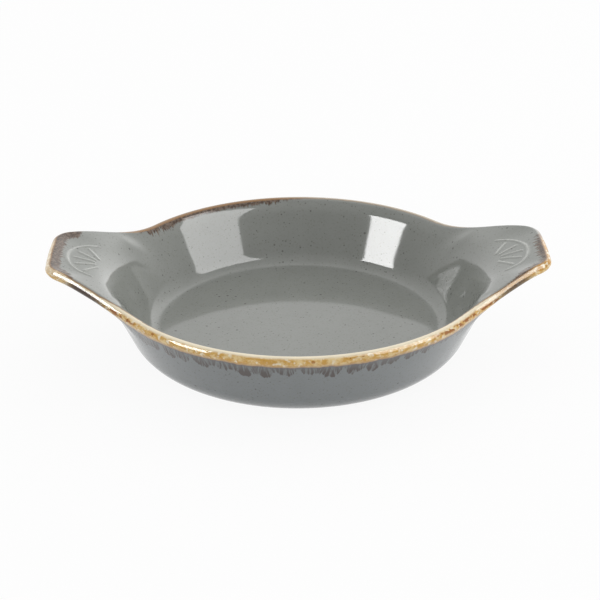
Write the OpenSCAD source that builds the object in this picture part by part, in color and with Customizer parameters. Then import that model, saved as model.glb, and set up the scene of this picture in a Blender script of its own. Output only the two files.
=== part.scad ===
// Two-handled serving dish in glazed stoneware.
// A round bowl stands on a low foot ring, and two broad ears rise out of its wall.
// X runs from ear to ear, Z is up, and the origin lies under the middle of the foot ring.
// The potter's parts of the clay body meet face to face, and the coats of glaze lie on them.

/* [Overall] */
// Length over both ears
overall_length = 250; // [230:1:290]
// How far an ear reaches out past the round rim
ear_reach = 27.8; // [20:0.1:36]
// Height of the level rim
rim_h = 40.2; // [30:0.1:60]
// Height of the ears at their tips
ear_h = 52; // [44:0.5:72]

/* [Ears] */
// Width of an ear where its sides, drawn on, would meet its tip
ear_tip_w = 41; // [30:1:56]
// Angle in degrees between an ear's side and the long axis
ear_taper = 33.2; // [24:0.1:38]
// Radius of the ear's corners, along the middle of the lip
ear_corner_r = 11.5; // [5:0.5:14]
// Radius of the hollow sweep from the rim into an ear's side
ear_root_r = 110; // [60:5:180]
// Radius of the tip's gentle outward bow
ear_tip_r = 260; // [120:10:600]
// Slope in degrees of the ear's upper face where it reaches the tip
ear_top_slope = 23; // [15:1:35]
// Slope in degrees of the ear's underside where it reaches the tip
ear_under_slope = 23; // [15:1:35]
// How far out past the rim the wall has turned over into the ear's slopes
ear_turn = 9; // [6:0.5:20]
// Thickness of the ear's lip at the tip, which is rounded to half of this
ear_lip_t = 5.2; // [3.6:0.1:7]

/* [Wall and floor] */
// Thickness of the rim's lip, which is rounded to half of this
lip_t = 4.6; // [3:0.1:6]
// How far the wall leans out from the heel, where the underside turns up, to the rim
wall_lean = 15.4; // [8:0.1:20]
// Height of the heel above the table
heel_h = 3.5; // [3:0.1:8]
// Radius that rounds the heel
heel_round = 18; // [8:0.5:24]
// How far the flat floor's edge lies in from the heel
floor_in = 11.5; // [11:0.5:24]
// Thickness of the floor
floor_t = 6.2; // [3:0.1:7]
// Radius of the hollow between floor and wall
floor_round = 11; // [6:0.5:14]

/* [Foot ring] */
// How far the foot ring's outside lies in from the heel
foot_in = 10.2; // [5:0.1:20]
// Width of the foot ring's clay
foot_w = 4.5; // [3:0.1:8]
// Height of the foot ring
foot_h = 1.8; // [1.2:0.1:3]
// Height of the bare edge that the glaze is wiped from
foot_bare = 0.7; // [0.4:0.1:1]

/* [Glaze] */
// Thickness of the glaze
glaze_t = 0.4; // [0.2:0.05:0.6]
// How far the edge band reaches down inside the round rim
band_in = 2; // [1:0.5:5]
// How far the edge band reaches in from an ear's tip
band_in_ear = 8; // [3:0.5:12]
// How far the edge band reaches down outside
band_out = 6; // [3:0.5:10]

/* [Hidden] */
clay = "#d9d3c4";
grey = "#8f928d";
slate = "#7d8185";
amber = "#b9893f";
// Overrun of the notch cutter past the clay
over = 20;
// How near the root's arc may come to the corner's
near_share = 0.98;
// Part of the wall's run that stays straight before its bend, at the rim and on an ear
rim_straight_share = 0.3;
ear_straight_share = 0.7;
// Part of the wall's run below the seam between the bowl and an ear
seam_share = 0.15;
// Handles of the wall's bends, as parts of their length
pull_share = 0.5;
// Widest steps in degrees between two sections, on an ear's side and on the rim
side_step = 4;
rim_step = 4.7;
// Steps round an ear's corner and along half of its tip
corner_n = 4;
tip_n = 2;
// Steps of a section: floor hollow, wall, lip, heel
floor_n = 4;
wall_n = 4;
lip_n = 6;
heel_n = 4;

lip_r = lip_t / 2;
rim_d = overall_length - 2 * ear_reach;
rim_r = rim_d / 2 - lip_r;
rim_z = rim_h - lip_r;
ear_lip_r = ear_lip_t / 2;
tip_x = overall_length / 2 - ear_lip_r;
tip_z = ear_h - ear_lip_r;
heel_d = rim_d - 2 * wall_lean;
floor_d = heel_d - 2 * floor_in;
floor_r = floor_d / 2;
floor_z = foot_h + floor_t;
foot_d = heel_d - 2 * foot_in;
foot_r = foot_d / 2;
foot_in_r = foot_r - glaze_t - foot_w;

function dir(a) = [cos(a), sin(a)];
function mixed(a, b, t) = a + (b - a) * t;
function unit(v) = v / norm(v);
function left_of(v) = [-v.y, v.x];
function angle_of(v) = atan2(v.y, v.x);
function within(t) = min(1, max(0, t));
function smooth(t) = within(t) * within(t) * (3 - 2 * within(t));

// Points on an arc about c, from angle a to angle b in n steps, both ends included
function arc(c, r, a, b, n) = [for (i = [0:n]) c + r * dir(mixed(a, b, i / n))];

// Points on a smooth curve that leaves p at angle a and reaches q at angle b
function bent(p, a, q, b, times) =
    let(
        c = p + pull_share * norm(q - p) * dir(a),
        d = q - pull_share * norm(q - p) * dir(b)
    )
    [for (t = times)
        pow(1 - t, 3) * p + 3 * t * pow(1 - t, 2) * c + 3 * t * t * (1 - t) * d + pow(t, 3) * q];

// The same line set off to its right by d, with mitred corners and a level start
function inset(line, d) =
    let(last = len(line) - 1)
    [for (i = [0:last])
        let(
            before = i == 0 ? [0, 1] : left_of(unit(line[i] - line[i - 1])),
            after = left_of(unit(line[min(i, last - 1) + 1] - line[min(i, last - 1)])),
            middle = unit(before + after)
        )
        line[i] - middle * d / (middle * before)];

// Plan of the lip's middle line round half an ear, from the rim to the middle of the tip.
// The root's arc leaves the rim's circle, a straight side touches it and the corner's arc,
// and the tip's wide arc closes the ear. The root's arc ends where it would meet the corner.
tip_c = [tip_x - ear_tip_r, 0];
along = dir(-ear_taper);
across = left_of(along);
side_off = across * [tip_x, ear_tip_w / 2];
from_tip_c = across * (side_off - ear_corner_r) - tip_c;
corner_on = sqrt(pow(ear_tip_r - ear_corner_r, 2) - pow(across * from_tip_c, 2))
    - along * from_tip_c;
corner_c = across * (side_off - ear_corner_r) + along * corner_on;
corner_start = corner_c + ear_corner_r * across;
corner_a = angle_of(corner_c - tip_c);
widest_root = (pow(corner_on, 2) / (rim_r - side_off) - rim_r - side_off) / 2;
root_r = min(ear_root_r, widest_root * near_share);
root_on = sqrt(pow(rim_r + root_r, 2) - pow(side_off + root_r, 2));
root_c = across * (side_off + root_r) + along * root_on;
root_end = root_c - root_r * across;
side_a = angle_of(across);
ear_a = angle_of(root_c);
root_start = rim_r * dir(ear_a);
root_n = ceil((ear_a - angle_of(root_end)) / side_step);
side_n = ceil((angle_of(root_end) - angle_of(corner_start)) / side_step);
rim_n = ceil((180 - 2 * ear_a) / rim_step);
half_ear = concat(
    arc(root_c, root_r, ear_a - 180, side_a - 180, root_n),
    [for (i = [1:side_n]) mixed(root_end, corner_start, i / side_n)],
    [for (i = [1:corner_n])
        corner_c + ear_corner_r * dir(mixed(side_a, corner_a, i / corner_n))],
    [for (i = [1:tip_n]) tip_c + ear_tip_r * dir(corner_a * (1 - i / tip_n))]
);
half_n = len(half_ear) - 1;

// A station is the angle of a section, and the reach, height and flare of its lip
function flare_at(reach) = within((reach - rim_r) / (tip_x - rim_r));
function lip_z_at(x) = mixed(rim_z, tip_z, smooth((x - root_start.x) / (tip_x - root_start.x)));
function station(p) = [angle_of(p), norm(p), lip_z_at(p.x), flare_at(norm(p))];
ear_stations = concat(
    [for (i = [0:half_n]) station([half_ear[i].x, -half_ear[i].y])],
    [for (i = [half_n - 1:-1:0]) station(half_ear[i])]
);
rim_station = [0, rim_r, rim_z, 0];
function turned(s, a) = [s[0] + a, s[1], s[2], s[3]];
rim_stations = [for (i = [1:rim_n - 1])
    turned(rim_station, mixed(ear_a, 180 - ear_a, i / rim_n))];
half_stations = concat(ear_stations, rim_stations);
all_stations = concat(half_stations, [for (s = half_stations) turned(s, 180)]);

// Play that keeps the facets of the glaze out of the clay's true rounds
widest_step = max([for (i = [1:len(all_stations) - 1]) all_stations[i][0] - all_stations[i - 1][0]]);
coat_gap = rim_d / 2 * (1 - cos(widest_step / 2));

// The round wall runs straight between the lip and the rounds of floor and heel
floor_c = [floor_r, floor_z + floor_round];
rim_c = [rim_r, rim_z];
wall_in_a = angle_of(rim_c - floor_c) + asin((lip_r + floor_round) / norm(rim_c - floor_c));
heel = [heel_d / 2, heel_h];
foot_top = [foot_r, foot_h];
under_a = angle_of(heel - foot_top);
wall_out_a = angle_of(rim_c - heel) - asin(lip_r / norm(rim_c - heel));
heel_turn = wall_out_a - under_a;
heel_trim = min(heel_round * tan(heel_turn / 2), norm(heel - foot_top) * near_share);
heel_bend = heel_trim / tan(heel_turn / 2);
heel_end = heel + heel_trim * dir(wall_out_a);
heel_c = heel_end + heel_bend * left_of(dir(wall_out_a));
wall_in = floor_c + floor_round * dir(wall_in_a - 90);
in_run = norm(rim_c + lip_r * dir(wall_in_a + 90) - wall_in);
out_run = norm(rim_c + lip_r * dir(wall_out_a - 90) - heel_end);

// Finished section at a station, from the floor's edge over the lip and down to the foot.
// Out past the rim the wall turns over into the ear's slopes, and its bend starts higher.
at_wall = floor_n;
at_band_in = at_wall + wall_n + 1;
at_lip = at_band_in + 1;
at_band_out = at_lip + lip_n + 1;
at_heel = at_band_out + wall_n + 1;
at_foot = at_heel + heel_n + 1;
function wall_times(length, band) =
    let(stop = 1 - band / (3 * pull_share * length))
    concat([for (i = [0:wall_n]) stop * i / wall_n], [1]);
function section(s) =
    let(
        lip = [s[1], s[2]],
        lip_round = mixed(lip_r, ear_lip_r, s[3]),
        turn = smooth((s[1] - rim_r) / ear_turn),
        in_a = mixed(wall_in_a, ear_top_slope, turn),
        out_a = mixed(wall_out_a, ear_under_slope, turn),
        lip_in = lip + lip_round * dir(in_a + 90),
        lip_out = lip + lip_round * dir(out_a - 90),
        straight_share = mixed(rim_straight_share, ear_straight_share, turn),
        bend_in = wall_in + straight_share * in_run * dir(wall_in_a),
        bend_out = heel_end + straight_share * out_run * dir(wall_out_a),
        in_times = wall_times(norm(lip_in - bend_in), mixed(band_in, band_in_ear, s[3])),
        out_times = wall_times(norm(lip_out - bend_out), band_out),
        outside = bent(bend_out, wall_out_a, lip_out, out_a, out_times)
    )
    concat(
        arc(floor_c, floor_round, -90, wall_in_a - 90, floor_n),
        bent(bend_in, wall_in_a, lip_in, in_a, in_times),
        [for (i = [1:lip_n]) lip + lip_round * dir(mixed(in_a + 90, out_a - 90, i / lip_n))],
        [for (i = [wall_n:-1:0]) outside[i]],
        arc(heel_c, heel_bend, wall_out_a - 90, under_a - 90, heel_n),
        [foot_top, [foot_r, foot_bare]]
    );
function part_of(line, a, b) = [for (i = [a:b]) line[i]];
function reversed(line) = [for (i = [len(line) - 1:-1:0]) line[i]];
function clay_line(s) = inset(section(s), glaze_t);

// The clay's underside is level inside the heel, and the foot ring joins it there.
// Bowl and ears join at a seam across the wall, low down, where the wall is straight all round.
rim_line = clay_line(rim_station);
seat_z = rim_line[at_foot].y;
seam_in = rim_line[at_wall] + seam_share * in_run * dir(wall_in_a);
seam_out = rim_line[at_heel] + seam_share * out_run * dir(wall_out_a);

// Closed loop of a glaze coat between two places on the section
function coat_loop(s, a, b) =
    let(face = section(s), back = inset(face, glaze_t - coat_gap))
    concat(part_of(face, a, b), reversed(part_of(back, a, b)));

// Solid swept through loops that stand at the stations' angles.
// A ring closes on itself, a run is closed by its two end faces,
// and a disc is a ring whose middle is covered.
// The first points of a loop run with the section and the rest against it,
// and the facets of both are cut along the same diagonals.
module swept(stations, loops, forward, ring = false, disc = false) {
    n = len(stations);
    m = len(loops[0]);
    rows = [for (j = [0:n - 1]) for (p = loops[j])
        [p.x * cos(stations[j][0]), p.x * sin(stations[j][0]), p.y]];
    points = concat(rows, [[0, 0, loops[0][0].y], [0, 0, loops[0][m - 1].y]]);
    sides = [for (j = [0:ring ? n - 1 : n - 2]) for (k = [0:disc ? m - 2 : m - 1])
        let(a = j * m + k, b = j * m + (k + 1) % m, c = (j + 1) % n * m + (k + 1) % m,
            d = (j + 1) % n * m + k)
        each k < forward - 1 ? [[a, c, b], [a, d, c]] : [[a, d, b], [b, d, c]]];
    ends = ring ? [] : [[for (k = [0:m - 1]) k], [for (k = [m - 1:-1:0]) (n - 1) * m + k]];
    covers = [for (j = [0:disc ? n - 1 : -1])
        let(a = j * m, b = (j + 1) % n * m)
        each [[n * m, b, a], [n * m + 1, a + m - 1, b + m - 1]]];
    polyhedron(points, concat(sides, ends, covers), convexity = 6);
}

module bowl() {
    past_seam = unit(seam_out - seam_in) * over;
    past_x = overall_length / 2 + over;
    past_z = ear_h + over;
    color(clay)
    difference() {
        // A quarter turn keeps the seam of the revolve clear of both notches
        rotate([0, 0, 90])
            rotate_extrude($fn = 180)
                polygon(concat([[0, rim_line[0].y]], part_of(rim_line, 0, at_foot), [[0, seat_z]]));
        for (side = [0, 180])
            rotate([0, 0, side - ear_a])
                rotate_extrude(angle = 2 * ear_a, $fn = 180)
                    polygon([
                        seam_in - past_seam,
                        seam_out + past_seam,
                        [past_x, (seam_out + past_seam).y],
                        [past_x, past_z],
                        [(seam_in - past_seam).x, past_z]
                    ]);
    }
}

module foot_ring() {
    out_r = foot_r - glaze_t;
    color(clay)
    rotate_extrude($fn = 180)
        polygon([
            [foot_in_r, seat_z],
            [foot_in_r, foot_bare],
            [foot_in_r + foot_bare, 0],
            [out_r - foot_bare, 0],
            [out_r, foot_bare],
            [out_r, seat_z]
        ]);
}

module ear() {
    color(clay)
    swept(
        ear_stations,
        [for (s = ear_stations)
            concat([seam_in], part_of(clay_line(s), at_wall + 1, at_heel - 1), [seam_out])],
        forward = at_heel - at_wall + 1
    );
}

module right_handle() {
    ear();
}

module left_handle() {
    rotate([0, 0, 180])
        ear();
}

module coat(a, b, disc = false) {
    swept(
        all_stations,
        [for (s = all_stations) coat_loop(s, a, b)],
        forward = b - a + 1,
        ring = true,
        disc = disc
    );
}

module inner_glaze() {
    color(grey)
    coat(0, at_band_in, disc = true);
}

module outer_glaze() {
    color(slate)
    coat(at_band_out, at_foot + 1);
}

module rim_glaze() {
    color(amber)
    coat(at_band_in, at_band_out);
}

module well_glaze() {
    color(slate)
    rotate_extrude($fn = 180)
        polygon([
            [0, seat_z - glaze_t],
            [foot_in_r - glaze_t, seat_z - glaze_t],
            [foot_in_r - glaze_t, foot_bare],
            [foot_in_r, foot_bare],
            [foot_in_r, seat_z],
            [0, seat_z]
        ]);
}

bowl();
foot_ring();
left_handle();
right_handle();
inner_glaze();
outer_glaze();
rim_glaze();
well_glaze();
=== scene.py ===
# %% [markdown]
# # A two-handled serving dish in reactive glaze
#
# The real dish is one piece of fired stoneware: a shallow round bowl on a low foot ring, with
# two broad ears pulled up out of its wall. Grey glaze covers it inside and out, and where the
# glaze runs thin over the edge it breaks into cream, amber and brown. This lesson dresses the
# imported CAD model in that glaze. The clay stays as it is in the CAD. The four coats of glaze
# are built again here, much finer, because a glossy surface shows every facet.

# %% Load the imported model
import math
import random

import bpy
import numpy as np
from mathutils import Matrix, Quaternion, Vector


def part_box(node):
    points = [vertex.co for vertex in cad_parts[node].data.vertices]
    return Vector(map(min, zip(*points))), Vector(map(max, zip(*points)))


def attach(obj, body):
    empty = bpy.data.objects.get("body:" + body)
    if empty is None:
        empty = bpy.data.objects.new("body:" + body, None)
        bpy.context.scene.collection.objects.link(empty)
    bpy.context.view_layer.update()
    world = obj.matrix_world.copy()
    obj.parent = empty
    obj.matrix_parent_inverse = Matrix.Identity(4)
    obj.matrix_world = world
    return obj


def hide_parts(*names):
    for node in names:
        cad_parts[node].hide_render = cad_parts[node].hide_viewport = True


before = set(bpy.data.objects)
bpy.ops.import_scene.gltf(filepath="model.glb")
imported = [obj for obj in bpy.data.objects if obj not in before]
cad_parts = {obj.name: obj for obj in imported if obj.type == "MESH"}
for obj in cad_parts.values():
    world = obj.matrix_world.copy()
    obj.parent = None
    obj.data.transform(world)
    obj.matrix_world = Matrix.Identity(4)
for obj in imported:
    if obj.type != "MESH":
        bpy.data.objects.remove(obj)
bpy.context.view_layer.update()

MM = 0.001
print("nodes:", sorted(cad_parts))

# %% [markdown]
# ## Sizes
#
# The visual model keeps to the place of the CAD model, so the overall sizes are measured on the
# CAD's edge band, which reaches furthest out and up, and the others are the driving sizes that
# shaped it. A visual model has to stay where the CAD model is. Everything is in metres, and
# angles are in radians.

# %% Sizes of the dish
edge_low, edge_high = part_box("rim_glaze")
overall_length, rim_d, ear_h = edge_high.x - edge_low.x, edge_high.y - edge_low.y, edge_high.z
rim_h = 40.2 * MM
ear_tip_w = 41 * MM
ear_taper = math.radians(33.2)
ear_corner_r = 11.5 * MM
ear_root_r = 110 * MM
ear_tip_r = 260 * MM
ear_slope = math.radians(23)
ear_turn = 9 * MM
ear_lip_t = 5.2 * MM
lip_t = 4.6 * MM
wall_lean = 15.4 * MM
heel_h = 3.5 * MM
heel_round = 18 * MM
floor_in = 11.5 * MM
floor_t = 6.2 * MM
floor_round = 11 * MM
foot_in = 10.2 * MM
foot_w = 4.5 * MM
foot_h = 1.8 * MM
foot_bare = 0.7 * MM
glaze_t = 0.4 * MM
band_in, band_in_ear, band_out = 2 * MM, 8 * MM, 6 * MM
rim_straight_share, ear_straight_share, pull_share = 0.3, 0.7, 0.5

lip_r, ear_lip_r = lip_t / 2, ear_lip_t / 2
rim_r = rim_d / 2 - lip_r
rim_z = rim_h - lip_r
tip_x = overall_length / 2 - ear_lip_r
tip_z = ear_h - ear_lip_r
heel_r = rim_d / 2 - wall_lean
floor_r = heel_r - floor_in
floor_z = foot_h + floor_t
foot_r = heel_r - foot_in
foot_in_r = foot_r - glaze_t - foot_w
print("length, rim and height in mm:", [round(v / MM, 2) for v in (overall_length, rim_d, ear_h)])

# %% [markdown]
# ## The line of the lip, seen from above
#
# A potter's model for such a dish is drawn with compasses: the round rim, a hollow sweep into
# the side of the ear, a straight side, a small round corner, and a wide bow for the tip. Arcs
# that touch each other make a line without kinks, and a kink would show in the gloss at once.


# %% Small helpers for lines and angles
def heading(angle):
    return np.stack([np.cos(angle), np.sin(angle)], -1)


def left_of(v):
    return np.array([-v[1], v[0]])


def angle_of(v):
    return math.atan2(v[1], v[0])


def mixed(a, b, t):
    return a + (b - a) * t


def smooth(t):
    t = np.clip(t, 0, 1)
    return t * t * (3 - 2 * t)


def steps(n):
    return np.arange(1, n + 1) / n


# %% Circles and lines that touch each other
tip_c = np.array([tip_x - ear_tip_r, 0])
along = heading(-ear_taper)
across = left_of(along)
side_off = across @ [tip_x, ear_tip_w / 2]
from_tip_c = across * (side_off - ear_corner_r) - tip_c
corner_gap = math.sqrt((ear_tip_r - ear_corner_r) ** 2 - (across @ from_tip_c) ** 2)
corner_on = corner_gap - along @ from_tip_c
corner_c = across * (side_off - ear_corner_r) + along * corner_on
corner_start = corner_c + ear_corner_r * across
corner_a = angle_of(corner_c - tip_c)
root_on = math.sqrt((rim_r + ear_root_r) ** 2 - (side_off + ear_root_r) ** 2)
root_c = across * (side_off + ear_root_r) + along * root_on
root_end = root_c - ear_root_r * across
side_a = angle_of(across)
ear_a = angle_of(root_c)
root_start = rim_r * heading(ear_a)
print("an ear leaves the rim at", round(math.degrees(ear_a), 2), "degrees")

# %% Points on half an ear, from the rim to the middle of its tip
root_n, side_n, corner_n, tip_n, rim_n = 44, 16, 20, 46, 66
root_turn = mixed(ear_a - math.pi, side_a - math.pi, np.append(0, steps(root_n)))
half_ear = np.concatenate([
    root_c + ear_root_r * heading(root_turn),
    mixed(root_end, corner_start, steps(side_n)[:, None]),
    corner_c + ear_corner_r * heading(mixed(side_a, corner_a, steps(corner_n))),
    tip_c + ear_tip_r * heading(corner_a * (1 - steps(tip_n))),
])
ear_plan = np.concatenate([half_ear * [1, -1], half_ear[-2::-1]])
rim_plan = rim_r * heading(mixed(ear_a, math.pi - ear_a, np.arange(1, rim_n) / rim_n))
half_plan = np.concatenate([ear_plan, rim_plan])
lip_plan = np.concatenate([half_plan, -half_plan])
print(len(lip_plan), "places round the lip")


# %% Angle, reach, height and flare of every place on the lip
turn = np.arctan2(lip_plan[:, 1], lip_plan[:, 0])
reach = np.hypot(lip_plan[:, 0], lip_plan[:, 1])
up_ear = smooth((np.abs(lip_plan[:, 0]) - root_start[0]) / (tip_x - root_start[0]))
lip_z = mixed(rim_z, tip_z, up_ear)
flare = np.clip((reach - rim_r) / (tip_x - rim_r), 0, 1)
print("lip between", round(lip_z.min() / MM, 1), "and", round(lip_z.max() / MM, 1), "mm high")

# %% [markdown]
# ## The section of the wall
#
# At every place on the lip the dish is cut by an upright plane through its middle. The line of
# the cut runs from the floor through a hollow fillet, up the wall, over the half-round lip and
# down the outside to the foot. Only the two wall curves change from the round rim to the ears,
# where they bend outwards. All the sections together make one grid of points, and one grid is
# easier to keep smooth than several surfaces that meet.

# %% Angles that all sections share
floor_c = np.array([floor_r, floor_z + floor_round])
rim_c = np.array([rim_r, rim_z])
heel = np.array([heel_r, heel_h])
foot_top = np.array([foot_r, foot_h])


def gap(a, b):
    return float(np.hypot(*(b - a)))


quarter = math.pi / 2
wall_in_a = angle_of(rim_c - floor_c) + math.asin((lip_r + floor_round) / gap(floor_c, rim_c))
wall_out_a = angle_of(rim_c - heel) - math.asin(lip_r / gap(heel, rim_c))
under_a = angle_of(heel - foot_top)
heel_trim = heel_round * math.tan((wall_out_a - under_a) / 2)
heel_end = heel + heel_trim * heading(wall_out_a)
heel_c = heel_end + heel_round * left_of(heading(wall_out_a))
hollow_end = floor_c + floor_round * heading(wall_in_a - quarter)
in_run = gap(hollow_end, rim_c + lip_r * heading(wall_in_a + quarter))
out_run = gap(heel_end, rim_c + lip_r * heading(wall_out_a - quarter))
print("wall inside and outside at", [round(math.degrees(a), 1) for a in (wall_in_a, wall_out_a)])


# %% The section, as one grid for all the way round
def arc_rows(centre, radius, a, b, times):
    """Points of an arc, where centre and angles may differ from row to row."""
    turned = mixed(a, b, times)
    return centre + radius * heading(turned)


def wall_rows(low, low_a, run, high, high_a, band, counts):
    """Every row goes straight up from low, then bends to reach high. The band's seam is a row."""
    straight_n, bend_n, band_n = counts
    bend = low + (straight * run)[:, None] * heading(low_a)
    length = np.linalg.norm(high - bend, axis=-1, keepdims=True)
    seam = 1 - band[:, None] / (3 * pull_share * length)
    below, above = seam * np.append(0, steps(bend_n)), seam + (1 - seam) * steps(band_n)
    t = np.concatenate([below, above], 1)[..., None]
    p, q = bend[:, None], high[:, None]
    c = p + pull_share * length[:, None] * heading(low_a)
    d = q - pull_share * (length * heading(high_a))[:, None]
    rise = low + (p - low) * steps(straight_n)[:-1, None]
    bent = (1 - t) ** 3 * p + 3 * t * (1 - t) ** 2 * c + 3 * t * t * (1 - t) * d + t ** 3 * q
    return np.concatenate([rise, bent], 1)


ring_n, hollow_n, lip_n, heel_n = 6, 10, 18, 10
in_counts, out_counts = (16, 84, 8), (10, 18, 10)
rows = len(lip_plan)
lip_c = np.stack([reach, lip_z], -1)
lip_round = mixed(lip_r, ear_lip_r, flare)[:, None]
turned_over = smooth((reach - rim_r) / ear_turn)
straight = mixed(rim_straight_share, ear_straight_share, turned_over)
in_a = mixed(wall_in_a, ear_slope, turned_over)
out_a = mixed(wall_out_a, ear_slope, turned_over)
lip_starts, lip_stops = in_a + quarter, out_a - quarter
floor_rings = np.stack([floor_r * np.arange(1, ring_n) / ring_n, np.full(ring_n - 1, floor_z)], -1)
hollow_turn = np.append(0, steps(hollow_n))
hollow = arc_rows(floor_c, floor_round, -quarter, wall_in_a - quarter, hollow_turn)
wall_in = wall_rows(hollow_end, wall_in_a, in_run, lip_c + lip_round * heading(lip_starts), in_a,
                    mixed(band_in, band_in_ear, flare), in_counts)
lip = arc_rows(lip_c[:, None], lip_round[..., None], lip_starts[:, None], lip_stops[:, None],
               steps(lip_n)[None])
wall_out = wall_rows(heel_end, wall_out_a, out_run, lip_c + lip_round * heading(lip_stops), out_a,
                     np.full(rows, band_out), out_counts)[:, -2::-1]
wall_out = np.concatenate([wall_out, np.tile(heel_end, (rows, 1, 1))], 1)
under = arc_rows(heel_c, heel_round, wall_out_a - quarter, under_a - quarter, steps(heel_n))
foot_low = np.array([foot_r, foot_bare])
foot = [mixed(under[-1], foot_top, 0.5), foot_top, mixed(foot_top, foot_low, 0.5), foot_low]
parts = (floor_rings, hollow, wall_in, lip, wall_out, under, np.array(foot))
section = np.concatenate([np.tile(p, (rows, 1, 1)) if p.ndim == 2 else p for p in parts], 1)
print("grid of", section.shape[0], "by", section.shape[1], "points")

# %% Names for places along the section
at_floor = ring_n - 1
at_wall = at_floor + hollow_n
at_lip_in = at_wall + wall_in.shape[1]
at_lip_out = at_lip_in + lip_n
at_heel = at_lip_out + wall_out.shape[1]
at_foot = at_heel + heel_n + 1


def placed(radius, height):
    """Turns radius and height into points round the dish."""
    return np.stack([radius * np.cos(turn)[:, None], radius * np.sin(turn)[:, None], height], -1)


skin = placed(section[..., 0], section[..., 1])
print("floor ends at", at_floor, "wall at", at_lip_in, "lip at", at_lip_out)

# %% [markdown]
# ## How far every point is from the edge
#
# The cream, amber and brown all follow the edge of the dish. A material can only do that if the
# mesh tells it two things about each point: how far the edge is, and which place on the edge is
# nearest. The edge is the crown of the lip. Distances inside the dish count as positive, and
# those outside as negative.

# %% The crown of the lip as a closed line
crown_a = (in_a + out_a) / 2
crown_rz = lip_c + lip_round * heading(crown_a)
crown = placed(crown_rz[:, :1], crown_rz[:, 1:])[:, 0]


def along_crown(values, k, share):
    """Values that belong to the places of the crown, read between two places."""
    share = share.reshape(share.shape + (1,) * (values.ndim - 1))
    return mixed(values[k], values[(k + 1) % rows], share)


def nearest_on_crown(points):
    """The crown's place before the nearest point of it, and the share of the way to the next."""
    after = np.roll(crown, -1, 0) - crown
    length2 = (after ** 2).sum(-1)
    best_k, best_share = np.empty(len(points), int), np.empty(len(points))
    at_once = 4000
    for start in range(0, len(points), at_once):
        some = points[start:start + at_once]
        near = ((some[:, None] - crown[None]) ** 2).sum(-1).argmin(1)
        tries = []
        for k in ((near - 1) % rows, near):
            share = np.clip(((some - crown[k]) * after[k]).sum(-1) / length2[k], 0, 1)
            tries.append((((some - along_crown(crown, k, share)) ** 2).sum(-1), k, share))
        second = tries[1][0] < tries[0][0]
        best_k[start:start + at_once] = np.where(second, tries[1][1], tries[0][1])
        best_share[start:start + at_once] = np.where(second, tries[1][2], tries[0][2])
    return best_k, best_share


# %% Distance and nearest place for the whole grid
grid_shape = skin.shape[:2]
nearest_k, nearest_share = (v.reshape(grid_shape) for v in nearest_on_crown(skin.reshape(-1, 3)))
edge_at = along_crown(crown, nearest_k, nearest_share)
from_edge = np.linalg.norm(skin - edge_at, axis=-1)
crown_k = (at_lip_in + at_lip_out) // 2
from_edge[:, crown_k:] *= -1
print("the middle of the floor is", round(from_edge[:, 0].max() / MM, 1), "mm from the edge")

# %% [markdown]
# ## How the glaze breaks along the edge
#
# No two places on such an edge are alike. Along the front the lip is cream over a broad amber
# band, and under the band mauve-brown feathers hang in clusters about a centimetre apart. At the
# back the line is thin and tan, the brown creeps down inside on the left, and the ears' tips
# have a wide brown seam with a fringe. These are slow changes, so they are kept as a few numbers
# for each place on the crown. The shader adds the fine grain.

# %% Where on the edge a place is, as shares from 0 to 1
def between(value, low, high):
    """0 below low, 1 above high, and smooth between."""
    return smooth((value - low) / (high - low))


def within(value, low, full, fades, gone):
    """Rises from low to full, and falls again from fades to gone."""
    return between(value, low, full) * (1 - between(value, fades, gone))


# Millimetres out from the middle, between which each part of the edge comes in
ear_span, shoulder_span, tip_span = (90, 100), (98, 112), (110, 117)
side_span, right_span = (45, 75), (-20, 20)
crown_x, crown_y = crown[:, 0] / MM, crown[:, 1] / MM
out_x = np.abs(crown_x)
on_ear = between(out_x, *ear_span)
near_tip = between(out_x, *shoulder_span)
on_tip = between(out_x, *tip_span)
on_front = 1 - between(out_x, *side_span)
to_right = between(crown_x, *right_span)
behind_from, behind_full = -6 + 4 * on_tip, 14 - 2 * on_tip
behind = between(crown_y - on_tip * (9 - 6 * to_right), behind_from, behind_full)
print("places behind:", int((behind > 0.5).sum()), "and on the tips:", int((on_tip > 0.5).sum()))

# %% Look of the lip: shares of pale, tan, amber and burnt glaze; where the amber share falls the outside turns dark brown with painted shade
pale = 1 - behind * np.maximum(0.93 - 0.3 * to_right, on_ear)
tanned = 1 - behind * np.maximum(0.5 * to_right, 0.85 * on_ear * (1 - on_tip))
# Across dark_span, on the ears' outsides, the amber gives way to dark brown glaze with painted
# shade under the lip
dark_span = (88, 104, 106, 116)
ambered = 1 - (0.95 - 0.3 * to_right) * within(out_x, *dark_span)
burned = between(out_x, 72 - 18 * to_right, 82 - 14 * to_right)
burned *= 1 - between(out_x, 90 + 4 * to_right, 100 + 6 * to_right)
burned *= 1 - behind
mottled = np.maximum(on_tip * (0.4 + 0.6 * to_right), 0.8 * on_ear * to_right)
print("burnt glaze on", int((burned > 0.5).sum()), "places")

# %% Reach of the cream and the brown inside, in millimetres, and the length of its streaks
cream_in = mixed(1.6 + 0.8 * on_front + 0.8 * on_tip, 2.0 - 0.3 * to_right, behind)
back_x = [-100, -86, -80, -72, -66, -40, -32, -12, -4, 20, 100]
back_brown = np.interp(crown_x, back_x, [1.6, 1.8, 4.2, 4.9, 4.5, 4.5, 4.4, 4.2, 2.8, 1.6, 1.4])
back_streak = np.interp(crown_x, back_x, [0.4, 0.5, 3.6, 3.4, 0.6, 0.5, 1.4, 2.0, 0.8, 0.4, 0.3])
browned = mixed(1.8 + 2.6 * near_tip * to_right, back_brown, behind)
browned = mixed(browned, 7.2 - 1.6 * to_right, on_tip)
browned = mixed(browned, 1.4, between(crown_y, 4, 16) * on_tip * to_right)
streaked = mixed(0.8 + 1.4 * near_tip, back_streak, behind)
streaked = mixed(streaked, 2.6 + 0.8 * to_right, on_tip)
print("brown reaches", round(browned.max(), 1), "mm down at most")

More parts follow.
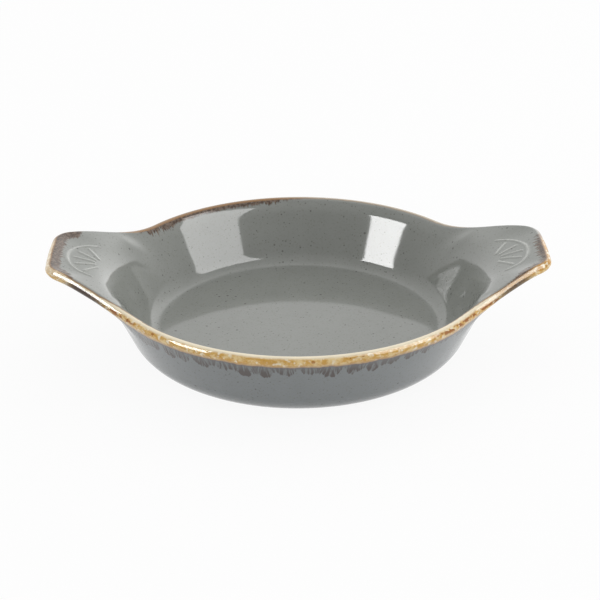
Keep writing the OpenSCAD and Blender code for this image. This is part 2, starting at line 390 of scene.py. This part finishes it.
# %% Clusters of feathers round the outside, in millimetres
cluster_wide, cluster_deep, cluster_step, last_gap = 4.5, 6.8, 9.6, 6
thinner_share, thinner_span = 0.45, (25, 70)
draw = random.Random(11)
step_mm = np.linalg.norm(np.roll(crown, -1, 0) - crown, axis=-1) / MM
round_mm = np.concatenate([[0], np.cumsum(step_mm)[:-1]])
whole_round = step_mm.sum()
hang, aside = np.zeros(rows), np.zeros(rows)
at = 0.0
while at < whole_round - last_gap:
    half_wide = cluster_wide + draw.uniform(-0.7, 0.9)
    deep = cluster_deep + draw.uniform(-1.9, 1.3)
    off = (round_mm - at + whole_round / 2) % whole_round - whole_round / 2
    lobe = deep * np.sqrt(np.clip(1 - (off / half_wide) ** 2, 0, 1))
    aside = np.where(lobe > hang, off, aside)
    hang = np.maximum(hang, lobe)
    at += cluster_step + draw.uniform(-1.4, 1.8)
hang *= 1 - thinner_share * between(crown_x, *thinner_span) * (1 - behind)
print("clusters hang", round(float(hang.mean()), 1), "mm on average")

# %% Hand the look of the edge to the whole grid
tangent = np.roll(crown, -1, 0) - np.roll(crown, 1, 0)
tangent /= np.linalg.norm(tangent, axis=-1, keepdims=True)
edge_looks = {
    "lip_look": np.stack([pale, tanned, ambered], -1),
    "lip_reach": np.stack([hang, browned, streaked], -1),
    "lip_more": np.stack([burned, cream_in, mottled], -1),
    "fan_mm": tangent * aside[:, None],
}
grid_looks = {key: along_crown(v, nearest_k, nearest_share) for key, v in edge_looks.items()}
print("looks on the grid:", sorted(grid_looks))

# %% [markdown]
# ## A raised fan on each ear
#
# The ears carry a low moulded relief for the fingers. Here it is a plain fan of five ribs under an
# arch. A bump in the material would vanish at the outline and would not be in the mesh, so the
# points themselves are lifted. The fan is drawn in two directions on the ear: down from the tip
# along the slope, and sideways.

# %% Height of the fan over the ear, as a share of its full height
fan_h = 0.5 * MM
rib_w = 1.3 * MM
fan_foot = 30 * MM
rib_in, rib_out, arch_r = 6 * MM, 16 * MM, 19.5 * MM
rib_angles = np.radians([-52, -26, 0, 26, 52])
arch_half = math.radians(66)
ears_from = 0.7


def ridge(off):
    """A rounded ridge of the rib's width over its middle line."""
    return np.where(off < rib_w, (1 + np.cos(np.pi * off / rib_w)) / 2, 0)


inner_skin = skin[:, :crown_k + 1]
inner_step = np.linalg.norm(np.diff(inner_skin, axis=1), axis=-1)
run = np.concatenate([np.zeros((rows, 1)), np.cumsum(inner_step, 1)], 1)
down = run[:, -1:] - run
inner_x = inner_skin[..., 0]
u, v = fan_foot - down, inner_skin[..., 1] * np.sign(inner_x)
far, swing = np.hypot(u, v), np.arctan2(v, u)
past_arch = np.clip(np.abs(swing) - arch_half, 0, None) * far
height = ridge(np.abs(far - arch_r) + past_arch)
for angle in rib_angles:
    on_rib = u * math.cos(angle) + v * math.sin(angle)
    off_rib = np.abs(v * math.cos(angle) - u * math.sin(angle))
    past = np.clip(rib_in - on_rib, 0, None) + np.clip(on_rib - rib_out, 0, None)
    height = np.maximum(height, ridge(np.hypot(off_rib, past)))
height *= np.abs(inner_x) > rim_r * ears_from
relief = np.zeros(grid_shape)
relief[:, :crown_k + 1] = height
print("points lifted by the fans:", int((relief > 0).sum()))

# %% [markdown]
# ## Normals for the whole skin
#
# Blender smooths a mesh by averaging the normals of the faces at a point. Where one coat stops
# and the next begins, that average would turn over the hidden edge and draw a seam. So the
# normals are worked out once on the whole grid and handed to each coat. Before that, the fan is
# lifted. In the hollow under each ear the glaze gathers and is a quarter of a millimetre
# thicker, which also keeps it clear of the clay's facets there. Last, the wall just under the
# lip is shaded as if it leaned a little further out, as a jiggered wall does where it meets the
# lip. That ends the long reflections on the wall a little below the edge.


# %% Normals by the slopes of the grid
def unit(v):
    return v / np.linalg.norm(v, axis=-1, keepdims=True)


def grid_normals(points):
    round_way = np.roll(points, -1, 0) - np.roll(points, 1, 0)
    return unit(np.cross(np.gradient(points, axis=1), round_way))


gathered, gathered_mm, gathered_rows = 0.25 * MM, (84, 90, 104, 112), (-4, 3, 28, 40)
past_lip = np.arange(grid_shape[1]) - at_lip_out
under_ear = within(np.abs(skin[..., 0]) / MM, *gathered_mm) * within(past_lip, *gathered_rows)
skin += grid_normals(skin) * (fan_h * relief + gathered * under_ear)[..., None]
normals = grid_normals(skin)
print("normal of the floor", normals[0, 1].round(3), "and of the outside", normals[0, -8].round(3))

# %% Lean the shading out under the lip
lean_most, lean_over_lip = math.radians(20), 3 * MM
lip_ends, lean_full, lean_ends = 0.3 * MM, 4.5 * MM, 12 * MM
lean = lean_most * between(down, lean_ends, lean_full) * smooth((down - lip_ends) / lean_over_lip)
up_wall = unit(np.gradient(skin, axis=1)[:, :crown_k + 1])
off_ears = 1 - turned_over[:, None]
normals[:, :crown_k + 1] += up_wall * (np.tan(lean) * off_ears)[..., None]
normals = unit(normals)
print("shading leans out by", round(math.degrees(lean.max()), 1), "degrees at most")

# %% [markdown]
# ## Coats of glaze as closed shells
#
# Each coat is a thin closed shell: its face is part of the grid, and its back lies under the
# face by the thickness of the glaze. The back is never seen, so every third row is enough, but
# the places where the section stops being straight have to be among them. A back that cuts such
# a corner would come up through the face.


# %% Faces and meshes for a coat
def quads(index, closed):
    """Faces between each line of points and the next line round the dish."""
    m = index.shape[1]
    k = np.arange(m if closed else m - 1)
    after = np.roll(index, -1, 0)
    corners = [index[:, k], index[:, (k + 1) % m], after[:, (k + 1) % m], after[:, k]]
    return np.stack(corners, -1).reshape(-1, 4).tolist()


def caps(index, top, bottom):
    """Triangles from two middle points to the first and the last point of each line."""
    pairs = zip(index.tolist(), np.roll(index, -1, 0).tolist())
    return [face for a, b in pairs for face in ([top, a[0], b[0]], [bottom, b[-1], a[-1]])]


def coat_object(name, points, faces, looks, shown=None):
    """Without normals to show, edges sharper than 35 degrees stay sharp."""
    mesh = bpy.data.meshes.new(name)
    mesh.from_pydata(points.tolist(), [], faces)
    mesh.polygons.foreach_set("use_smooth", np.ones(len(mesh.polygons), bool))
    for key, value in looks.items():
        kind, field = ("FLOAT_VECTOR", "vector") if value.ndim == 2 else ("FLOAT", "value")
        flat = np.ascontiguousarray(value, np.float32).reshape(-1)
        mesh.attributes.new(key, kind, "POINT").data.foreach_set(field, flat)
    if shown is None:
        mesh.set_sharp_from_angle(angle=math.radians(35))
    else:
        mesh.normals_split_custom_set_from_vertices(shown.tolist())
    mesh.update()
    piece = bpy.data.objects.new(name, mesh)
    bpy.context.scene.collection.objects.link(piece)
    print(name, len(mesh.vertices), "points,", len(mesh.polygons), "faces")
    return piece


# %% A shell from part of the grid
back_every = 3
corners_k = (at_floor, at_wall, at_heel, at_foot - 1, at_foot, at_foot + 1)
shell_looks = {"from_edge_mm": from_edge / MM, "relief": relief, "edge_at_mm": edge_at / MM}
shell_looks.update(grid_looks)


def shell(name, first, last, middle=False):
    """Closed coat between two places of the section. With middle, it covers the floor's centre."""
    front_k = np.arange(first, last + 1)
    kept = [k for k in corners_k if first < k < last]
    back_k = np.unique(np.concatenate([np.arange(first, last, back_every), kept, [last]]))
    back_k = back_k.astype(int)[::-1]

    def both(front, back):
        joined = np.concatenate([front[:, front_k], back[:, back_k]], 1)
        return joined.reshape((-1,) + joined.shape[2:])

    points = both(skin, skin - normals * glaze_t)
    shown = both(normals, -normals)
    looks = {key: both(value, value) for key, value in shell_looks.items()}
    index = np.arange(len(points)).reshape(rows, -1)
    faces = quads(index, closed=not middle)
    if middle:
        faces += caps(index, len(points), len(points) + 1)
        low_z, high_z = points[index[0, -1], 2], points[0, 2]
        points = np.concatenate([points, [[0, 0, high_z], [0, 0, low_z]]])
        shown = np.concatenate([shown, [[0, 0, 1], [0, 0, -1]]])
        looks = {key: np.concatenate([value, value[:1], value[:1]]) for key, value in looks.items()}
    return coat_object(name, points, faces, looks, shown)


print("the back of a shell takes every", back_every, "rows and", len(corners_k), "corners")

# %% The three coats that sweep round the dish
band_in_k = at_lip_in - in_counts[2]
band_out_k = at_lip_out + out_counts[2]
inside = shell("glaze_inside", 0, band_in_k, middle=True)
edge = shell("glaze_edge", band_in_k, band_out_k)
outside = shell("glaze_outside", band_out_k, section.shape[1] - 1)

# %% [markdown]
# ## The well under the foot
#
# Inside the foot ring the underside is level, and the glaze there is one turned coat. It is made
# by turning a short profile, as on a wheel.

# %% The turned coat in the well
seat_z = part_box("foot_ring")[1].z
face_z, well_rim, well_round = seat_z - glaze_t, foot_in_r - glaze_t, 0.8 * MM
well_mid, well_n, level_n, round_n = 4 * MM, 180, 14, 5
far_from_edge_mm = 60
level_r = np.linspace(well_mid, well_rim - well_round, level_n)
bent = steps(round_n) * quarter
bend_in, bend_down = well_round * (1 - np.sin(bent)), well_round * (1 - np.cos(bent))
well_line = np.concatenate([
    np.stack([level_r, np.full(level_n, face_z)], -1),
    np.stack([well_rim - bend_in, face_z - bend_down], -1),
    [[well_rim, foot_bare], [foot_in_r, foot_bare], [foot_in_r, seat_z], [well_mid, seat_z]],
])
well_turn = np.arange(well_n) / well_n * 2 * math.pi
well_r, well_z = well_line[None, :, 0], np.tile(well_line[:, 1], (well_n, 1))
well_x, well_y = (well_r * way(well_turn)[:, None] for way in (np.cos, np.sin))
well_points = np.stack([well_x, well_y, well_z], -1).reshape(-1, 3)
index = np.arange(len(well_points)).reshape(well_n, -1)
well_faces = quads(index, closed=False) + caps(index, len(well_points), len(well_points) + 1)
well_points = np.concatenate([well_points, [[0, 0, face_z], [0, 0, seat_z]]])
well_looks = {key: np.zeros((len(well_points),) + v.shape[2:]) for key, v in shell_looks.items()}
well_looks["from_edge_mm"] -= far_from_edge_mm
well = coat_object("glaze_well", well_points, [face[::-1] for face in well_faces], well_looks)

# %% [markdown]
# ## Shader maths as Python
#
# A reactive glaze is a lot of small decisions: how far the amber comes, where it breaks, how
# long a streak hangs. Written as nodes by hand, that is a tangle. A small class wraps a socket,
# so that a sum on sockets makes the nodes by itself.


# %% A socket that can be reckoned with
class Wire:
    def __init__(self, finish, socket):
        self.finish, self.socket = finish, socket

    def maths(self, operation, *values):
        sockets = dict(enumerate(values))
        return self.finish.node("ShaderNodeMath", {"operation": operation}, sockets)

    def other(self, output):
        """Another output of the node that this one comes from."""
        return Wire(self.finish, self.socket.node.outputs[output])

    def __add__(self, other):
        return self.maths("ADD", self, other)

    def __sub__(self, other):
        return self.maths("SUBTRACT", self, other)

    def __rsub__(self, other):
        return self.maths("SUBTRACT", other, self)

    def __mul__(self, other):
        return self.maths("MULTIPLY", self, other)

    __radd__, __rmul__ = __add__, __mul__

    def __truediv__(self, other):
        return self.maths("DIVIDE", self, other)

    def __neg__(self):
        return self.maths("MULTIPLY", self, -1)

    def size(self):
        return self.maths("ABSOLUTE", self)

    def most(self, other):
        return self.maths("MAXIMUM", self, other)

    def ramp(self, low, high):
        """0 below low, 1 above high, and smooth between."""
        return self.finish.node("ShaderNodeMapRange", {"interpolation_type": "SMOOTHSTEP"},
                                {"Value": self, "From Min": low, "From Max": high})


# %% A finish that makes its own nodes
class Finish:
    """The nodes of one material, or of the world, and the shader that they end in."""

    def __init__(self, owner, shader="BSDF_PRINCIPLED"):
        owner.use_nodes = True
        self.owner, self.tree = owner, owner.node_tree
        self.shader = next(n for n in self.tree.nodes if n.type == shader)

    def node(self, kind, settings, sockets, output=0):
        made = self.tree.nodes.new(kind)
        for key, value in settings.items():
            setattr(made, key, value)
        for key, value in sockets.items():
            if isinstance(value, Wire):
                self.tree.links.new(value.socket, made.inputs[key])
            else:
                made.inputs[key].default_value = value
        return Wire(self, made.outputs[output])

    def feed(self, **sockets):
        """Sets or links the shader's own sockets, with _ for a space in their names."""
        for key, value in sockets.items():
            target = self.shader.inputs[key.replace("_", " ")]
            if isinstance(value, Wire):
                self.tree.links.new(value.socket, target)
            else:
                target.default_value = value

    def show(self, surface):
        """Makes a mixed shader the surface of the material."""
        end = next(n for n in self.tree.nodes if n.type == "OUTPUT_MATERIAL")
        self.tree.links.new(surface.socket, end.inputs["Surface"])

    def attribute(self, name, output="Fac"):
        return self.node("ShaderNodeAttribute", {"attribute_name": name}, {}, output)

    def scaled(self, vector, amount):
        sockets = {0: vector, "Scale": amount}
        return self.node("ShaderNodeVectorMath", {"operation": "SCALE"}, sockets)

    def shifted(self, vector, other):
        return self.node("ShaderNodeVectorMath", {"operation": "ADD"}, {0: vector, 1: other})

    def parts(self, vector):
        made = self.node("ShaderNodeSeparateXYZ", {}, {0: vector})
        return [made.other(i) for i in range(3)]

    def joined(self, x, y, z):
        return self.node("ShaderNodeCombineXYZ", {}, {0: x, 1: y, 2: z})

    def noise(self, vector, grain, detail=2.0, rough=0.5):
        sockets = {"Vector": vector, "Scale": 1 / grain, "Detail": detail, "Roughness": rough}
        return self.node("ShaderNodeTexNoise", {}, sockets)

    def tinted(self, share, a, b):
        """Colour a, turning to colour b as share goes from 0 to 1."""
        a, b = (v if isinstance(v, Wire) else (*v, 1) for v in (a, b))
        return self.node("ShaderNodeMix", {"data_type": "RGBA"}, {0: share, 6: a, 7: b}, 2)

    def place(self):
        """Where a point is on the dish, in millimetres."""
        return self.scaled(self.node("ShaderNodeTexCoord", {}, {}, "Object"), 1 / MM)


print("shader helpers ready")

# %% [markdown]
# ## The glaze
#
# One recipe colours all four coats, so that nothing changes at a seam. From the crown of the lip
# outwards it goes cream, broken amber, a peach line, and then mauve-brown feathers that hang
# down in clusters. Inwards it goes cream, a thin tan line and brown, which is widest on the tips
# of the ears and at the back on the left. The body is grey, a little bluer outside than inside,
# with fine dark specks of iron.

# %% Colours of the glaze
cream = (0.88, 0.78, 0.58)
golden = (0.62, 0.34, 0.055)
straw = (0.80, 0.60, 0.28)
burnt = (0.34, 0.11, 0.002)
peach = (0.46, 0.28, 0.15)
feather = (0.070, 0.052, 0.047)
tan = (0.30, 0.16, 0.055)
dark_tan = (0.235, 0.097, 0.006)
brown = (0.140, 0.065, 0.024)
# The darkest brown of the glaze, which also carries the painted shade under the ears' lips
dark = (0.050, 0.021, 0.006)
amber = (0.52, 0.25, 0.015)
grey_in = (0.256, 0.266, 0.246)
grey_out = (0.208, 0.226, 0.230)
iron = (0.035, 0.030, 0.025)
rust = (0.105, 0.090, 0.060)
cloudy = (0.12, 0.125, 0.115)
# Pale of glaze breaking thin over the fan's ribs, together with a painted highlight there
pale_break_and_highlight = (0.50, 0.51, 0.48)
print("grey inside and outside:", grey_in, grey_out)


# %% The specks of iron
def specks(f, place, grain, share, small, large):
    """A mask of round specks. Grain is their spacing, share how many places have one."""
    cell = f.node("ShaderNodeTexVoronoi", {}, {"Vector": place, "Scale": 1 / grain})
    there_draw, size_draw, _ = f.parts(cell.other("Color"))
    there = there_draw.ramp(1 - share - 0.01, 1 - share)
    radius = size_draw * ((large - small) / grain) + small / grain
    return there * (1 - (cell / radius).ramp(0.6, 1.1))


# %% Lengths of the glaze in millimetres, and places where each noise is read
band_mm, strand_mm, fringe_mm = 4.7, 5.0, 2.4
sideways, stretched, lengthways = -0.07, 0.12, 0.6
# How far down the outside the painted shade under the ears' lips fades out, in millimetres
painted_shade_brown_fades, painted_shade_brown_gone = 8.0, 13.0
raised_pale_and_highlight_share, cloud_share, mist_share, grit_share = 0.85, 0.25, 0.14, 0.34
fine_share, coarse_share = 0.5, 0.6
gloss, glass_ior, ripple_h = 0.07, 1.55, 0.6 * MM
cream_at, blots_at, dots_at = (31.0, 7.0, 3.0), (11.0, 3.0, 5.0), (2.0, 8.0, 4.0)
mist_at, grit_at, coarse_at = (3.0, 5.0, 8.0), (7.0, 1.0, 9.0), (5.0, 3.0, 1.0)


# %% The recipe for the whole glaze
def glaze_recipe(name):
    f = Finish(bpy.data.materials.new(name))
    place = f.place()
    d = f.attribute("from_edge_mm")
    lip_at = f.attribute("edge_at_mm", "Vector")
    raised = f.attribute("relief")
    pale, tanned, ambered = f.parts(f.attribute("lip_look", "Vector"))
    hang, browned, streaked = f.parts(f.attribute("lip_reach", "Vector"))
    burned, cream_in, mottled = f.parts(f.attribute("lip_more", "Vector"))
    wide = f.noise(lip_at, 9.0, 1.0) - 0.5
    near = f.noise(lip_at, 2.6, 1.0) - 0.5
    out = -d
    under = out - (band_mm + wide * 1.4 + near * 0.9)
    fan_aside = f.scaled(f.attribute("fan_mm", "Vector"), under.most(0.0) * sideways)
    strand_at = f.shifted(f.shifted(lip_at, fan_aside), f.joined(0.0, 0.0, d * stretched))
    strand = f.noise(strand_at, 1.0, 2.0, 0.55)
    strand_off = (strand - 0.5) * strand_mm
    flow = f.shifted(f.scaled(lip_at, lengthways), f.joined(0.0, 0.0, d))

    # Outside: the broken amber band, which beside the ears' tips turns dark brown with painted
    # shade under the ears' lips, and its peach line
    spread = f.noise(flow, 2.0, 3.0, 0.6)
    band = f.tinted(spread.ramp(0.36, 0.60), straw, golden)
    band = f.tinted(f.noise(f.shifted(place, cream_at), 2.3, 1.5).ramp(0.54, 0.70), band, cream)
    blots = f.noise(f.shifted(flow, blots_at), 2.0, 1.0)
    middle = out.ramp(0.2, 1.4) * (1 - under.ramp(-2.6, -1.4))
    band = f.tinted(blots.ramp(0.58, 0.74) * middle * 0.7, band, amber)
    dots = specks(f, f.shifted(place, dots_at), 4.2, 0.6, 0.5, 1.1)
    band = f.tinted(dots * middle * 0.8, band, burnt)
    band = f.tinted((blots + burned * 0.14).ramp(0.58, 0.68) * burned * middle, band, burnt)
    band = f.tinted(under.ramp(-1.7, 0.0) * 0.9, band, peach)
    # Dark brown glaze with painted shade under the ears' lips, fading out further down the outside
    painted_shade_brown = (1 - ambered) * out.ramp(-0.9, -0.2)
    painted_shade_brown = painted_shade_brown * (1 - (out + strand_off).ramp(painted_shade_brown_fades, painted_shade_brown_gone))
    band = f.tinted(painted_shade_brown, band, dark)

    # Outside: the feathers under the band, and a halo of the same colour where they start
    feathers = (1 - (under - (hang + strand_off)).ramp(-0.5, 0.3)) * hang.ramp(0.8, 2.4)
    feathers = feathers * (0.6 + 0.4 * (under / 6.0).ramp(0.0, 0.8))
    feathers = feathers * (0.25 + 0.75 * strand.ramp(0.40, 0.54))
    halo = (1 - under.ramp(0.2, 1.8)) * 0.4
    feathered = f.tinted(feathers.most(halo), grey_out, feather)
    outer = f.tinted(under.ramp(-0.35, 0.3), band, feathered)

    # Inside: brown with a fringe, and over it a tan line next to the cream
    fringe = browned + (strand - 0.5) * fringe_mm * streaked + wide + near * 0.8
    brown_share = (1 - (d - fringe).ramp(-0.8, 0.4)) * (browned - 1.6).ramp(0.0, 1.2)
    patchy = f.noise(place, 1.5, 3.0, 0.6).ramp(0.36, 0.60)
    inner = f.tinted(brown_share * (0.75 + 0.25 * patchy), grey_in, f.tinted(patchy, brown, dark))
    tan_line = (1 - (d - cream_in).ramp(0.2, 0.9 + near * 0.8)) * tanned
    inner = f.tinted(tan_line, inner, f.tinted(brown_share * (1 - pale), tan, dark_tan))

    # The crown of the lip is cream, and the raised fan is paler: the glaze breaks thin over the
    # ribs, with a painted highlight on them
    over = f.tinted(d.ramp(-0.3, 0.3), outer, inner)
    # The painted shade under the ears' lips reaches a little way up over the crown
    over = f.tinted(painted_shade_brown * (1 - d.ramp(0.5, 1.0)), over, dark)
    over = f.tinted((1 - d.size().ramp(0.5, 1.0)) * tanned * (1 - pale), over, tan)
    edge_out = d + ambered * 1.1 - 0.7 + near * 0.6
    edge_out = edge_out.ramp(-0.9 * ambered, 0.1 + 0.7 * ambered)
    crown_cream = (1 - (d - cream_in - near * 0.6).ramp(-0.4, 0.3)) * edge_out
    crown_colour = f.tinted(mottled * spread.ramp(0.36, 0.52), cream, amber)
    over = f.tinted(crown_cream * pale, over, crown_colour)
    # Thin glaze and a painted highlight on the ribs of the fan
    over = f.tinted(raised * raised_pale_and_highlight_share, over, pale_break_and_highlight)

    # Clouds and specks
    cloud = f.noise(place, 14.0, 3.0, 0.6)
    over = f.tinted((cloud - 0.5) * cloud_share + 0.05, over, cloudy)
    on_grey = under.ramp(-0.3, 0.3).most((d - cream_in).ramp(0.3, 1.0))
    mist = f.noise(f.shifted(place, mist_at), 1.1, 2.0, 0.6).ramp(0.50, 0.72)
    grit = specks(f, f.shifted(place, grit_at), 1.5, 0.5, 0.25, 0.5)
    over = f.tinted((mist * mist_share).most(grit * grit_share) * on_grey, over, rust)
    fine = specks(f, place, 2.5, 0.6, 0.25, 0.5)
    coarse = specks(f, f.shifted(place, coarse_at), 5.0, 0.6, 0.4, 0.75)
    over = f.tinted((fine * fine_share).most(coarse * coarse_share) * on_grey, over, iron)
    ripple = f.noise(place, 26.0, 1.0) + f.noise(place, 4.0, 1.0) * 0.04
    bump_sockets = {"Strength": 0.25, "Distance": ripple_h, "Height": ripple}
    bump = f.node("ShaderNodeBump", {}, bump_sockets)
    f.feed(Base_Color=over, Roughness=gloss, IOR=glass_ior, Normal=bump)
    return f.owner


# %% Glaze the four coats
glaze = glaze_recipe("storm_glaze")
for piece in (inside, edge, outside, well):
    piece.data.materials.append(glaze)
print("glaze nodes:", len(glaze.node_tree.nodes))

# %% [markdown]
# ## Clay
#
# Under the glaze is a pale stoneware body. It only shows where the potter wiped the glaze off
# the foot ring, where it is dry, slightly rough and stained by handling.


# %% Fired clay
clay_colour, bare_colour, stain = (0.69, 0.65, 0.55), (0.60, 0.56, 0.48), (0.12, 0.08, 0.05)
hollow_share, stain_share, dry, tooth_h = 0.82, 0.6, 0.78, 0.2 * MM


def clay_recipe(name, colour, speck_share):
    f = Finish(bpy.data.materials.new(name))
    place = f.place()
    grain = f.noise(place, 1.2, 4.0, 0.7)
    shade = f.tinted(grain.ramp(0.3, 0.7), tuple(hollow_share * c for c in colour), colour)
    spots = specks(f, place, 1.6, speck_share, 0.1, 0.3)
    shade = f.tinted(spots * stain_share, shade, stain)
    bump_sockets = {"Strength": 0.3, "Distance": tooth_h, "Height": f.noise(place, 0.5, 4.0)}
    bump = f.node("ShaderNodeBump", {}, bump_sockets)
    f.feed(Base_Color=shade, Roughness=dry + (grain - 0.5) * 0.2, Normal=bump)
    return f.owner


clay = clay_recipe("stoneware_clay", clay_colour, 0.15)
bare = clay_recipe("bare_foot_clay", bare_colour, 0.3)
clay_nodes = {"bowl": clay, "left_handle": clay, "right_handle": clay, "foot_ring": bare}
for node_name, material in clay_nodes.items():
    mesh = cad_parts[node_name].data
    mesh.materials.clear()
    mesh.materials.append(material)
print("clay on", sorted(clay_nodes))

# %% [markdown]
# ## Fasten the pieces
#
# The dish has no joints, so every piece rides on its one body. Each coat hides the coarser CAD coat
# that it stands for.

# %% Ride and replace
coats = (
    (inside, "inner_glaze", "inside_glaze"),
    (edge, "rim_glaze", "edge_glaze"),
    (outside, "outer_glaze", "outside_glaze"),
    (well, "well_glaze", "outside_glaze"),
)
for piece, node_name, slot_name in coats:
    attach(piece, "root")
    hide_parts(node_name)
print("four coats fastened")

# %% [markdown]
# ## The table and the studio
#
# The photograph was taken on white. The table is white paper, mixed with a plain white glow for
# rays that come from the camera or from a mirror, so that it looks white without more light on
# the dish, and the rest of the mix keeps the shadow. The world is brightest behind the dish and
# dimmer on the camera's side, which gives glossy ware its form: the floor of the dish mirrors
# the backdrop, and its far wall mirrors the room. Two tall soft boxes draw the long reflections
# on the far wall.

# %% A white table that keeps the shadow
table_size, glow_share = 6.0, 0.92
bpy.ops.mesh.primitive_plane_add(size=table_size, location=(0, 0, 0))
table = bpy.context.object
table.name = "table"
paper = Finish(bpy.data.materials.new("white_paper"))
fibre = paper.noise(paper.place(), 1.5, 4.0)
paper_dark, paper_light = (0.78, 0.78, 0.78), (0.82, 0.82, 0.82)
paper_colour = paper.tinted(fibre, paper_dark, paper_light)
paper.feed(Base_Color=paper_colour, Roughness=0.9)
camera_ray = paper.node("ShaderNodeLightPath", {}, {})
seen = camera_ray.most(camera_ray.other("Is Glossy Ray"))
seen = seen.most(camera_ray.other("Is Transmission Ray"))
glow = paper.node("ShaderNodeEmission", {}, {"Color": (1, 1, 1, 1), "Strength": 1.0})
paper_shader = Wire(paper, paper.shader.outputs[0])
paper.show(paper.node("ShaderNodeMixShader", {}, {0: seen * glow_share, 1: paper_shader, 2: glow}))
table.data.materials.append(paper.owner)
print("table stands ready")

# %% The world
world = bpy.data.worlds.new("studio")
bpy.context.scene.world = world
sky = Finish(world, "BACKGROUND")
to_side, to_back, to_top = sky.parts(sky.node("ShaderNodeTexCoord", {}, {}, "Generated"))
room, side_light, back_light, top_light, corner_light = 0.655, 0.08, 0.50, 0.2, 0.6
studio = room + side_light * to_side + back_light * to_back.ramp(-0.2, 0.8)
studio = studio + top_light * to_top.ramp(0.6, 1.0)
studio = studio + corner_light * to_side.ramp(0.05, 0.35) * to_back.ramp(0.5, 0.8)
camera_ray = sky.node("ShaderNodeLightPath", {}, {})
sky.feed(Color=(1, 1, 1, 1), Strength=studio * (1 - camera_ray) + camera_ray)
print("world nodes:", len(sky.tree.nodes))


# %% Two soft boxes that only show in the gloss, and two fills that never do
lamp_away = 1.5


def soft_box(name, around, above, wide, high, radiance, tilted=0.0, mirrored=True):
    """A lamp at angles from straight behind the dish, clockwise, and over the table, in degrees."""
    a, b = math.radians(around), math.radians(above)
    place = Vector((math.sin(a) * math.cos(b), math.cos(a) * math.cos(b), math.sin(b))) * lamp_away
    light = bpy.data.lights.new(name, "AREA")
    light.shape, light.size, light.size_y = "RECTANGLE", wide, high
    light.energy = radiance * math.pi * wide * high
    made = bpy.data.objects.new(name, light)
    made.location = place
    turned = Quaternion((0, 0, 1), math.radians(tilted))
    made.rotation_euler = ((-place).to_track_quat("-Z", "Y") @ turned).to_euler()
    made.visible_diffuse, made.visible_glossy = not mirrored, mirrored
    bpy.context.scene.collection.objects.link(made)


soft_box("left_box", -113.5, 26, wide=0.60, high=1.05, radiance=14, tilted=18)
soft_box("right_box", 114, 35, wide=1.04, high=1.60, radiance=5, tilted=-14)
soft_box("left_fill", -70, 18, wide=1.0, high=0.6, radiance=0.9, mirrored=False)
soft_box("right_fill", 85, 18, wide=1.0, high=0.6, radiance=2.8, mirrored=False)
print("studio lit")

# %% [markdown]
# ## The camera
#
# The camera stands where the photographer's stood: a long lens, about 26 degrees above the
# table. Its distance and angles come from fitting the dish's outline to the photograph.

# %% Camera
focal_px, image_px, sensor_mm, far_away = 1569.9, 600.0, 36.0, 0.8
tilt, around, roll = 0.4530, 0.0240, 0.0045
aim = Vector((0, 0, 18 * MM))
shift_right, shift_up = -0.723 * MM, -4.12 * MM
right, up = Vector((1, 0, 0)), Vector((0, math.sin(tilt), math.cos(tilt)))
forward = Vector((0, math.cos(tilt), -math.sin(tilt)))
eye = aim - far_away * forward - shift_right * right - shift_up * up
rolled_right = math.cos(roll) * right - math.sin(roll) * up
right, up = rolled_right, math.sin(roll) * right + math.cos(roll) * up
stand = Matrix((right, up, -forward)).transposed().to_4x4()
stand.translation = eye
camera_data = bpy.data.cameras.new("camera")
camera_data.sensor_width = sensor_mm
camera_data.lens = sensor_mm * focal_px / image_px
camera = bpy.data.objects.new("camera", camera_data)
camera.matrix_world = Matrix.Rotation(-around, 4, "Z") @ stand
bpy.context.scene.collection.objects.link(camera)
bpy.context.scene.camera = camera
bpy.context.scene.view_settings.view_transform = "Standard"
print("lens", round(camera_data.lens, 1), "mm")
